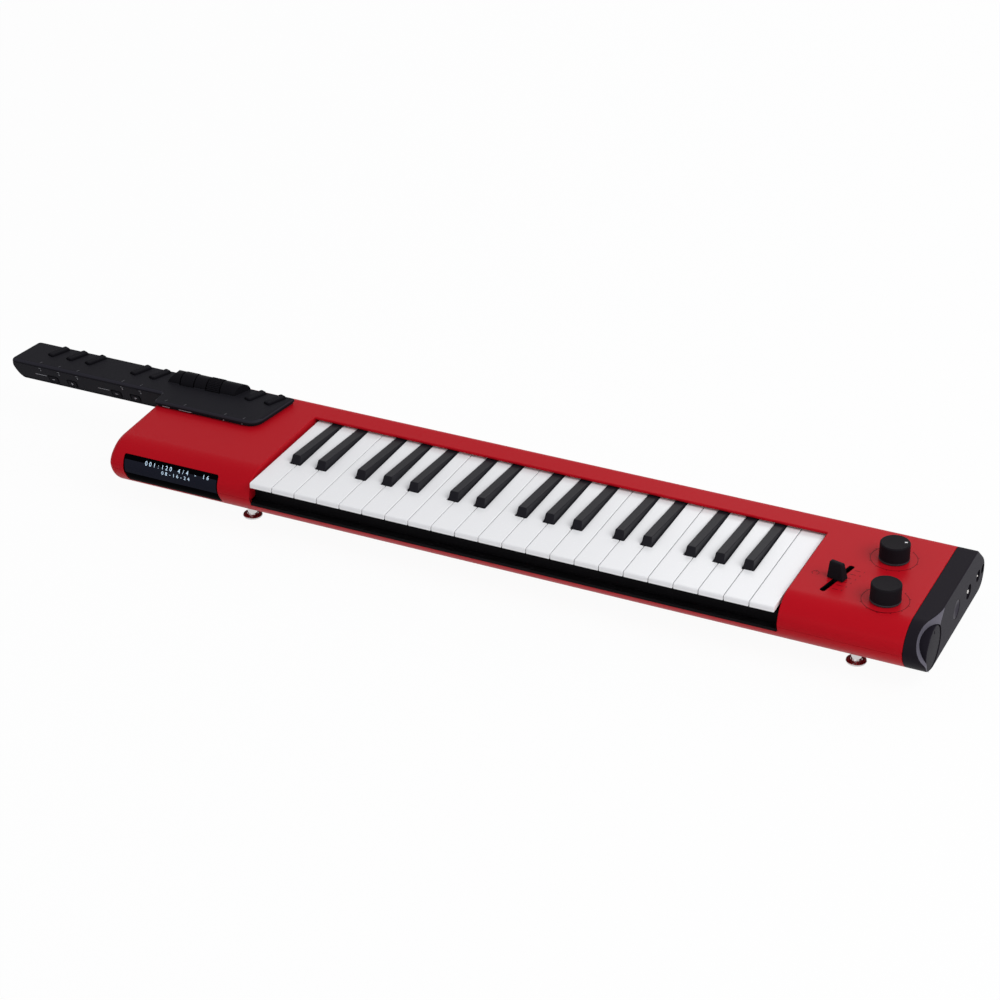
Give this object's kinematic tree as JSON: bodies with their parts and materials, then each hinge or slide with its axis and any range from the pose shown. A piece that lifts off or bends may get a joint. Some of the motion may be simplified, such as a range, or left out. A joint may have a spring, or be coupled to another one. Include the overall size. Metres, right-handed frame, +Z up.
{
  "type": "keytar",
  "caption": "Shoulder-worn keyboard in a rounded case with piano keys, a short side neck of bar buttons and rollers, knobs, a slide lever and an end dial.",
  "frame": {"origin": "centre of the bounding box in plan, on the surface that the instrument lies on", "axes": "+X along the keys towards the high notes and the end cap, +Y from the key fronts to the rear, +Z up out of the keys"},
  "size_m": [0.8242, 0.156, 0.0662],
  "materials": {
    "case_red": "satin moulded plastic",
    "neck_black": "fine matte grain",
    "cap_black": "satin",
    "display_gloss": "polished",
    "chassis_black": "matte",
    "key_white": "smooth",
    "key_black": "fine grain",
    "pin_chrome": "polished",
    "roller_black": "satin",
    "bar_grey": "matte",
    "button_grey": "matte",
    "knob_black": "matte",
    "board_green": "lacquered board"
  },
  "bodies": {
    "case": {"upper_case": "case_red", "lower_case": "case_red", "neck_upper_shell": "neck_black", "neck_lower_shell": "neck_black", "end_cap": "cap_black", "display_window": "display_gloss", "key_chassis": "chassis_black", "main_board": "board_green", "strap_pin_left": "pin_chrome", "strap_pin_right": "pin_chrome"},
    "white_key_01": {"white_key_01": "key_white"},
    "white_key_02": {"white_key_02": "key_white"},
    "white_key_03": {"white_key_03": "key_white"},
    "white_key_04": {"white_key_04": "key_white"},
    "white_key_05": {"white_key_05": "key_white"},
    "white_key_06": {"white_key_06": "key_white"},
    "white_key_07": {"white_key_07": "key_white"},
    "white_key_08": {"white_key_08": "key_white"},
    "white_key_09": {"white_key_09": "key_white"},
    "white_key_10": {"white_key_10": "key_white"},
    "white_key_11": {"white_key_11": "key_white"},
    "white_key_12": {"white_key_12": "key_white"},
    "white_key_13": {"white_key_13": "key_white"},
    "white_key_14": {"white_key_14": "key_white"},
    "white_key_15": {"white_key_15": "key_white"},
    "white_key_16": {"white_key_16": "key_white"},
    "white_key_17": {"white_key_17": "key_white"},
    "white_key_18": {"white_key_18": "key_white"},
    "white_key_19": {"white_key_19": "key_white"},
    "white_key_20": {"white_key_20": "key_white"},
    "white_key_21": {"white_key_21": "key_white"},
    "white_key_22": {"white_key_22": "key_white"},
    "black_key_01": {"black_key_01": "key_black"},
    "black_key_02": {"black_key_02": "key_black"},
    "black_key_03": {"black_key_03": "key_black"},
    "black_key_04": {"black_key_04": "key_black"},
    "black_key_05": {"black_key_05": "key_black"},
    "black_key_06": {"black_key_06": "key_black"},
    "black_key_07": {"black_key_07": "key_black"},
    "black_key_08": {"black_key_08": "key_black"},
    "black_key_09": {"black_key_09": "key_black"},
    "black_key_10": {"black_key_10": "key_black"},
    "black_key_11": {"black_key_11": "key_black"},
    "black_key_12": {"black_key_12": "key_black"},
    "black_key_13": {"black_key_13": "key_black"},
    "black_key_14": {"black_key_14": "key_black"},
    "black_key_15": {"black_key_15": "key_black"},
    "pitch_roller": {"pitch_roller": "roller_black"},
    "modulation_roller": {"modulation_roller": "roller_black"},
    "neck_bars_1_2": {"neck_bars_1_2": "bar_grey"},
    "neck_bar_3": {"neck_bar_3": "bar_grey"},
    "neck_bars_4_5": {"neck_bars_4_5": "bar_grey"},
    "neck_bars_6_7": {"neck_bars_6_7": "bar_grey"},
    "transpose_rocker": {"transpose_rocker": "button_grey"},
    "octave_rocker": {"octave_rocker": "button_grey"},
    "rear_knob": {"rear_knob": "knob_black"},
    "front_knob": {"front_knob": "knob_black"},
    "mode_lever": {"mode_lever": "knob_black"},
    "volume_dial": {"volume_dial": "cap_black"},
    "battery_cover": {"battery_cover": "case_red"}
  },
  "joints": [
    {"name": "white_key_01_press", "type": "hinge", "parent": "case", "child": "white_key_01", "pos_m": [-0.12345, 0.043, 0.0406], "axis": [1, 0, 0], "range_deg": [0, 1.8], "stiffness_Nm_per_rad": 0.5, "springref_deg": -6.88},
    {"name": "white_key_02_press", "type": "hinge", "parent": "case", "child": "white_key_02", "pos_m": [-0.10375, 0.043, 0.0406], "axis": [1, 0, 0], "range_deg": [0, 1.8], "stiffness_Nm_per_rad": 0.5, "springref_deg": -6.88},
    {"name": "white_key_03_press", "type": "hinge", "parent": "case", "child": "white_key_03", "pos_m": [-0.08405, 0.043, 0.0406], "axis": [1, 0, 0], "range_deg": [0, 1.8], "stiffness_Nm_per_rad": 0.5, "springref_deg": -6.88},
    {"name": "white_key_04_press", "type": "hinge", "parent": "case", "child": "white_key_04", "pos_m": [-0.06435, 0.043, 0.0406], "axis": [1, 0, 0], "range_deg": [0, 1.8], "stiffness_Nm_per_rad": 0.5, "springref_deg": -6.88},
    {"name": "white_key_05_press", "type": "hinge", "parent": "case", "child": "white_key_05", "pos_m": [-0.04465, 0.043, 0.0406], "axis": [1, 0, 0], "range_deg": [0, 1.8], "stiffness_Nm_per_rad": 0.5, "springref_deg": -6.88},
    {"name": "white_key_06_press", "type": "hinge", "parent": "case", "child": "white_key_06", "pos_m": [-0.02495, 0.043, 0.0406], "axis": [1, 0, 0], "range_deg": [0, 1.8], "stiffness_Nm_per_rad": 0.5, "springref_deg": -6.88},
    {"name": "white_key_07_press", "type": "hinge", "parent": "case", "child": "white_key_07", "pos_m": [-0.00525, 0.043, 0.0406], "axis": [1, 0, 0], "range_deg": [0, 1.8], "stiffness_Nm_per_rad": 0.5, "springref_deg": -6.88},
    {"name": "white_key_08_press", "type": "hinge", "parent": "case", "child": "white_key_08", "pos_m": [0.01445, 0.043, 0.0406], "axis": [1, 0, 0], "range_deg": [0, 1.8], "stiffness_Nm_per_rad": 0.5, "springref_deg": -6.88},
    {"name": "white_key_09_press", "type": "hinge", "parent": "case", "child": "white_key_09", "pos_m": [0.03415, 0.043, 0.0406], "axis": [1, 0, 0], "range_deg": [0, 1.8], "stiffness_Nm_per_rad": 0.5, "springref_deg": -6.88},
    {"name": "white_key_10_press", "type": "hinge", "parent": "case", "child": "white_key_10", "pos_m": [0.05385, 0.043, 0.0406], "axis": [1, 0, 0], "range_deg": [0, 1.8], "stiffness_Nm_per_rad": 0.5, "springref_deg": -6.88},
    {"name": "white_key_11_press", "type": "hinge", "parent": "case", "child": "white_key_11", "pos_m": [0.07355, 0.043, 0.0406], "axis": [1, 0, 0], "range_deg": [0, 1.8], "stiffness_Nm_per_rad": 0.5, "springref_deg": -6.88},
    {"name": "white_key_12_press", "type": "hinge", "parent": "case", "child": "white_key_12", "pos_m": [0.09325, 0.043, 0.0406], "axis": [1, 0, 0], "range_deg": [0, 1.8], "stiffness_Nm_per_rad": 0.5, "springref_deg": -6.88},
    {"name": "white_key_13_press", "type": "hinge", "parent": "case", "child": "white_key_13", "pos_m": [0.11295, 0.043, 0.0406], "axis": [1, 0, 0], "range_deg": [0, 1.8], "stiffness_Nm_per_rad": 0.5, "springref_deg": -6.88},
    {"name": "white_key_14_press", "type": "hinge", "parent": "case", "child": "white_key_14", "pos_m": [0.13265, 0.043, 0.0406], "axis": [1, 0, 0], "range_deg": [0, 1.8], "stiffness_Nm_per_rad": 0.5, "springref_deg": -6.88},
    {"name": "white_key_15_press", "type": "hinge", "parent": "case", "child": "white_key_15", "pos_m": [0.15235, 0.043, 0.0406], "axis": [1, 0, 0], "range_deg": [0, 1.8], "stiffness_Nm_per_rad": 0.5, "springref_deg": -6.88},
    {"name": "white_key_16_press", "type": "hinge", "parent": "case", "child": "white_key_16", "pos_m": [0.17205, 0.043, 0.0406], "axis": [1, 0, 0], "range_deg": [0, 1.8], "stiffness_Nm_per_rad": 0.5, "springref_deg": -6.88},
    {"name": "white_key_17_press", "type": "hinge", "parent": "case", "child": "white_key_17", "pos_m": [0.19175, 0.043, 0.0406], "axis": [1, 0, 0], "range_deg": [0, 1.8], "stiffness_Nm_per_rad": 0.5, "springref_deg": -6.88},
    {"name": "white_key_18_press", "type": "hinge", "parent": "case", "child": "white_key_18", "pos_m": [0.21145, 0.043, 0.0406], "axis": [1, 0, 0], "range_deg": [0, 1.8], "stiffness_Nm_per_rad": 0.5, "springref_deg": -6.88},
    {"name": "white_key_19_press", "type": "hinge", "parent": "case", "child": "white_key_19", "pos_m": [0.23115, 0.043, 0.0406], "axis": [1, 0, 0], "range_deg": [0, 1.8], "stiffness_Nm_per_rad": 0.5, "springref_deg": -6.88},
    {"name": "white_key_20_press", "type": "hinge", "parent": "case", "child": "white_key_20", "pos_m": [0.25085, 0.043, 0.0406], "axis": [1, 0, 0], "range_deg": [0, 1.8], "stiffness_Nm_per_rad": 0.5, "springref_deg": -6.88},
    {"name": "white_key_21_press", "type": "hinge", "parent": "case", "child": "white_key_21", "pos_m": [0.27055, 0.043, 0.0406], "axis": [1, 0, 0], "range_deg": [0, 1.8], "stiffness_Nm_per_rad": 0.5, "springref_deg": -6.88},
    {"name": "white_key_22_press", "type": "hinge", "parent": "case", "child": "white_key_22", "pos_m": [0.29025, 0.043, 0.0406], "axis": [1, 0, 0], "range_deg": [0, 1.8], "stiffness_Nm_per_rad": 0.5, "springref_deg": -6.88},
    {"name": "black_key_01_press", "type": "hinge", "parent": "case", "child": "black_key_01", "pos_m": [-0.11535, 0.043, 0.0406], "axis": [1, 0, 0], "range_deg": [0, 2.2], "stiffness_Nm_per_rad": 0.5, "springref_deg": -6.88},
    {"name": "black_key_02_press", "type": "hinge", "parent": "case", "child": "black_key_02", "pos_m": [-0.09276, 0.043, 0.0406], "axis": [1, 0, 0], "range_deg": [0, 2.2], "stiffness_Nm_per_rad": 0.5, "springref_deg": -6.88},
    {"name": "black_key_03_press", "type": "hinge", "parent": "case", "child": "black_key_03", "pos_m": [-0.05775, 0.043, 0.0406], "axis": [1, 0, 0], "range_deg": [0, 2.2], "stiffness_Nm_per_rad": 0.5, "springref_deg": -6.88},
    {"name": "black_key_04_press", "type": "hinge", "parent": "case", "child": "black_key_04", "pos_m": [-0.0348, 0.043, 0.0406], "axis": [1, 0, 0], "range_deg": [0, 2.2], "stiffness_Nm_per_rad": 0.5, "springref_deg": -6.88},
    {"name": "black_key_05_press", "type": "hinge", "parent": "case", "child": "black_key_05", "pos_m": [-0.01183, 0.043, 0.0406], "axis": [1, 0, 0], "range_deg": [0, 2.2], "stiffness_Nm_per_rad": 0.5, "springref_deg": -6.88},
    {"name": "black_key_06_press", "type": "hinge", "parent": "case", "child": "black_key_06", "pos_m": [0.02255, 0.043, 0.0406], "axis": [1, 0, 0], "range_deg": [0, 2.2], "stiffness_Nm_per_rad": 0.5, "springref_deg": -6.88},
    {"name": "black_key_07_press", "type": "hinge", "parent": "case", "child": "black_key_07", "pos_m": [0.04514, 0.043, 0.0406], "axis": [1, 0, 0], "range_deg": [0, 2.2], "stiffness_Nm_per_rad": 0.5, "springref_deg": -6.88},
    {"name": "black_key_08_press", "type": "hinge", "parent": "case", "child": "black_key_08", "pos_m": [0.08015, 0.043, 0.0406], "axis": [1, 0, 0], "range_deg": [0, 2.2], "stiffness_Nm_per_rad": 0.5, "springref_deg": -6.88},
    {"name": "black_key_09_press", "type": "hinge", "parent": "case", "child": "black_key_09", "pos_m": [0.1031, 0.043, 0.0406], "axis": [1, 0, 0], "range_deg": [0, 2.2], "stiffness_Nm_per_rad": 0.5, "springref_deg": -6.88},
    {"name": "black_key_10_press", "type": "hinge", "parent": "case", "child": "black_key_10", "pos_m": [0.12607, 0.043, 0.0406], "axis": [1, 0, 0], "range_deg": [0, 2.2], "stiffness_Nm_per_rad": 0.5, "springref_deg": -6.88},
    {"name": "black_key_11_press", "type": "hinge", "parent": "case", "child": "black_key_11", "pos_m": [0.16045, 0.043, 0.0406], "axis": [1, 0, 0], "range_deg": [0, 2.2], "stiffness_Nm_per_rad": 0.5, "springref_deg": -6.88},
    {"name": "black_key_12_press", "type": "hinge", "parent": "case", "child": "black_key_12", "pos_m": [0.18304, 0.043, 0.0406], "axis": [1, 0, 0], "range_deg": [0, 2.2], "stiffness_Nm_per_rad": 0.5, "springref_deg": -6.88},
    {"name": "black_key_13_press", "type": "hinge", "parent": "case", "child": "black_key_13", "pos_m": [0.21805, 0.043, 0.0406], "axis": [1, 0, 0], "range_deg": [0, 2.2], "stiffness_Nm_per_rad": 0.5, "springref_deg": -6.88},
    {"name": "black_key_14_press", "type": "hinge", "parent": "case", "child": "black_key_14", "pos_m": [0.241, 0.043, 0.0406], "axis": [1, 0, 0], "range_deg": [0, 2.2], "stiffness_Nm_per_rad": 0.5, "springref_deg": -6.88},
    {"name": "black_key_15_press", "type": "hinge", "parent": "case", "child": "black_key_15", "pos_m": [0.26397, 0.043, 0.0406], "axis": [1, 0, 0], "range_deg": [0, 2.2], "stiffness_Nm_per_rad": 0.5, "springref_deg": -6.88},
    {"name": "neck_bars_1_2_rock", "type": "hinge", "parent": "case", "child": "neck_bars_1_2", "pos_m": [-0.3718, 0.0358, 0.0547], "axis": [0.3584, 0.9336, 0], "range_deg": [-3, 3], "stiffness_Nm_per_rad": 0.3},
    {"name": "neck_bars_4_5_rock", "type": "hinge", "parent": "case", "child": "neck_bars_4_5", "pos_m": [-0.2911, 0.0358, 0.0547], "axis": [0.3584, 0.9336, 0], "range_deg": [-3, 3], "stiffness_Nm_per_rad": 0.3},
    {"name": "neck_bars_6_7_rock", "type": "hinge", "parent": "case", "child": "neck_bars_6_7", "pos_m": [-0.1823, 0.0358, 0.0547], "axis": [0.3584, 0.9336, 0], "range_deg": [-3, 3], "stiffness_Nm_per_rad": 0.3},
    {"name": "neck_bar_3_press", "type": "slide", "parent": "case", "child": "neck_bar_3", "axis": [0, 0, -1], "range_m": [0, 0.0008], "stiffness_N_per_m": 500, "springref_m": -0.001},
    {"name": "transpose_rocker_rock", "type": "hinge", "parent": "case", "child": "transpose_rocker", "pos_m": [-0.3648, 0.01758, 0.04383], "axis": [0, -0.3958, 0.9183], "range_deg": [-2.5, 2.5], "stiffness_Nm_per_rad": 0.3},
    {"name": "octave_rocker_rock", "type": "hinge", "parent": "case", "child": "octave_rocker", "pos_m": [-0.3031, 0.01758, 0.04383], "axis": [0, -0.3958, 0.9183], "range_deg": [-2.5, 2.5], "stiffness_Nm_per_rad": 0.3},
    {"name": "pitch_roller_turn", "type": "hinge", "parent": "case", "child": "pitch_roller", "pos_m": [-0.2518, 0.0359, 0.056], "axis": [1, 0, 0], "range_deg": [-30, 30], "stiffness_Nm_per_rad": 0.03},
    {"name": "modulation_roller_turn", "type": "hinge", "parent": "case", "child": "modulation_roller", "pos_m": [-0.2273, 0.0359, 0.056], "axis": [1, 0, 0], "range_deg": [-60, 60]},
    {"name": "rear_knob_turn", "type": "hinge", "parent": "case", "child": "rear_knob", "pos_m": [0.3588, 0.017, 0.058], "axis": [0, 0, 1], "range_deg": [-150, 150]},
    {"name": "front_knob_turn", "type": "hinge", "parent": "case", "child": "front_knob", "pos_m": [0.3709, -0.0409, 0.058], "axis": [0, 0, 1], "range_deg": [-150, 150]},
    {"name": "volume_dial_turn", "type": "hinge", "parent": "case", "child": "volume_dial", "pos_m": [0.4067, -0.0514, 0.0282], "axis": [1, 0, 0], "range_deg": [-150, 150]},
    {"name": "mode_lever_slide", "type": "slide", "parent": "case", "child": "mode_lever", "axis": [0.225, 0.9744, 0], "range_m": [-0.0155, 0.0155]},
    {"name": "battery_cover_release", "type": "slide", "parent": "case", "child": "battery_cover", "axis": [0, 0, -1], "range_m": [0, 0.006]}
  ]
}
